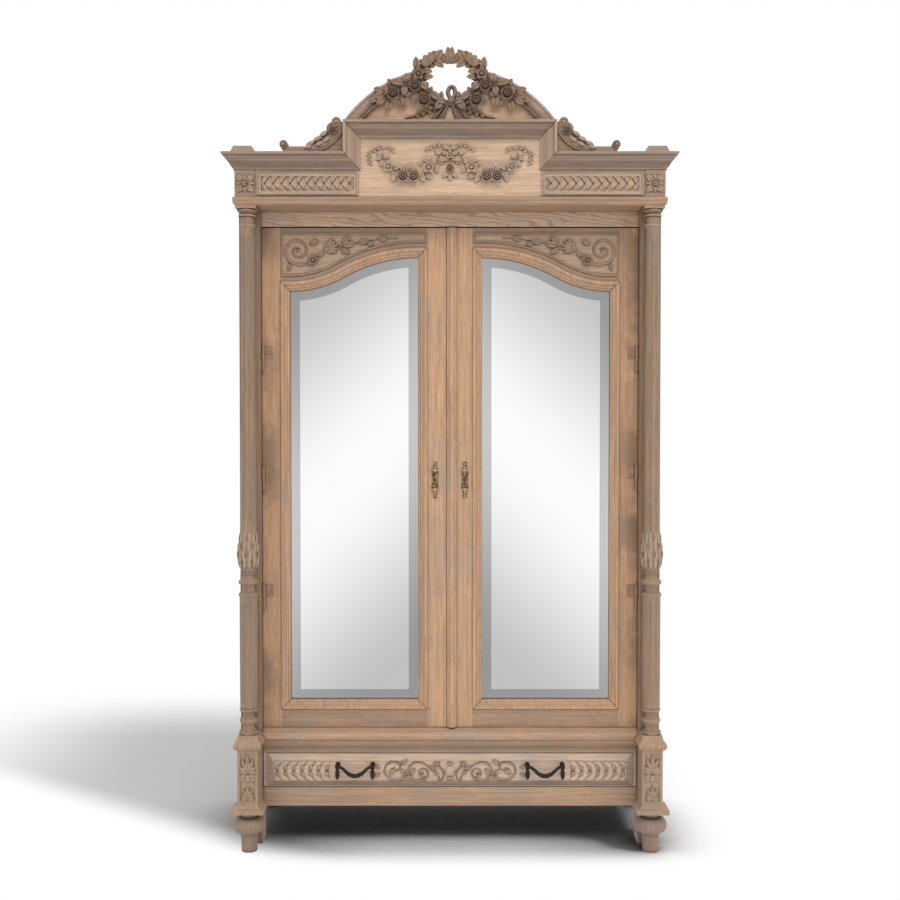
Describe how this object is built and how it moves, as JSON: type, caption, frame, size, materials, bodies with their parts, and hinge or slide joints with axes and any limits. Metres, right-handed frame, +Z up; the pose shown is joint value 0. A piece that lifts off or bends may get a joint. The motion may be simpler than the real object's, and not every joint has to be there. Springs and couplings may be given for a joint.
{
  "type": "mirrored armoire",
  "caption": "Tall carved oak armoire with bevelled mirror doors over a long base drawer, fluted columns on pedestals, and an arched pediment with a pierced flower wreath.",
  "frame": {"origin": "on the floor, under the middle of the whole piece", "axes": "+X to the right seen from the front, +Y to the back, +Z up"},
  "size_m": [1.4002, 0.5361, 2.505],
  "materials": {
    "limed_oak": "limed and waxed, matt",
    "carved_oak": "limed and waxed carving, darker in the hollows",
    "inner_wood": "plain planed",
    "mirror_glass": "bevelled silvered glass",
    "aged_brass": "aged",
    "dark_bronze": "dark patina",
    "lock_iron": "dull"
  },
  "bodies": {
    "carcass": {"front_posts": "limed_oak", "rear_posts": "limed_oak", "side_rails": "limed_oak", "side_panels": "limed_oak", "back_boards": "inner_wood", "cupboard_floor": "inner_wood", "lintel": "limed_oak", "door_stops": "inner_wood", "waist_rail": "limed_oak", "apron_rail": "limed_oak", "drawer_runners": "inner_wood", "shelf": "inner_wood", "shelf_cleats": "inner_wood", "hanging_rail": "inner_wood", "rail_sockets": "inner_wood", "pedestals": "limed_oak", "front_feet": "limed_oak", "columns": "limed_oak", "architrave": "limed_oak", "frieze_board": "limed_oak", "frieze_sides": "limed_oak", "rosette_blocks": "carved_oak", "leaf_panels": "carved_oak", "cornice_runs": "limed_oak", "cornice_returns": "limed_oak", "cornice_crown": "limed_oak", "top_board": "inner_wood", "cap_blocks": "limed_oak", "scroll_brackets": "carved_oak", "pediment": "limed_oak", "pediment_arch": "limed_oak", "crest_wreath": "carved_oak", "frieze_garland": "carved_oak", "post_hinges": "aged_brass"},
    "left_door": {"left_door_stiles": "limed_oak", "left_door_rails": "limed_oak", "left_door_moulding": "limed_oak", "left_mirror": "mirror_glass", "left_door_back": "inner_wood", "left_spandrel": "carved_oak", "left_escutcheon": "aged_brass", "left_door_hinges": "aged_brass", "left_latch_plates": "lock_iron"},
    "right_door": {"right_door_stiles": "limed_oak", "right_door_rails": "limed_oak", "right_door_moulding": "limed_oak", "right_mirror": "mirror_glass", "right_door_back": "inner_wood", "right_spandrel": "carved_oak", "right_escutcheon": "aged_brass", "right_door_hinges": "aged_brass", "door_astragal": "limed_oak", "lock_case": "lock_iron"},
    "drawer": {"drawer_front": "limed_oak", "drawer_box": "inner_wood", "drawer_bottom": "inner_wood", "drawer_pulls": "dark_bronze"},
    "lock_bolt": {"lock_bolt": "lock_iron"},
    "top_bolt": {"top_bolt": "lock_iron"},
    "bottom_bolt": {"bottom_bolt": "lock_iron"}
  },
  "joints": [
    {"name": "left_door_hinge", "type": "hinge", "parent": "carcass", "child": "left_door", "pos_m": [-0.5945, -0.1375, 0], "axis": [0, 0, -1], "range_deg": [0, 90]},
    {"name": "right_door_hinge", "type": "hinge", "parent": "carcass", "child": "right_door", "pos_m": [0.5945, -0.1375, 0], "axis": [0, 0, 1], "range_deg": [0, 90]},
    {"name": "drawer_slide", "type": "slide", "parent": "carcass", "child": "drawer", "axis": [0, -1, 0], "range_m": [0, 0.3]},
    {"name": "lock_bolt_slide", "type": "slide", "parent": "right_door", "child": "lock_bolt", "axis": [-1, 0, 0], "range_m": [0, 0.014]},
    {"name": "top_bolt_slide", "type": "slide", "parent": "left_door", "child": "top_bolt", "axis": [0, 0, 1], "range_m": [0, 0.015]},
    {"name": "bottom_bolt_slide", "type": "slide", "parent": "left_door", "child": "bottom_bolt", "axis": [0, 0, -1], "range_m": [0, 0.015]}
  ]
}
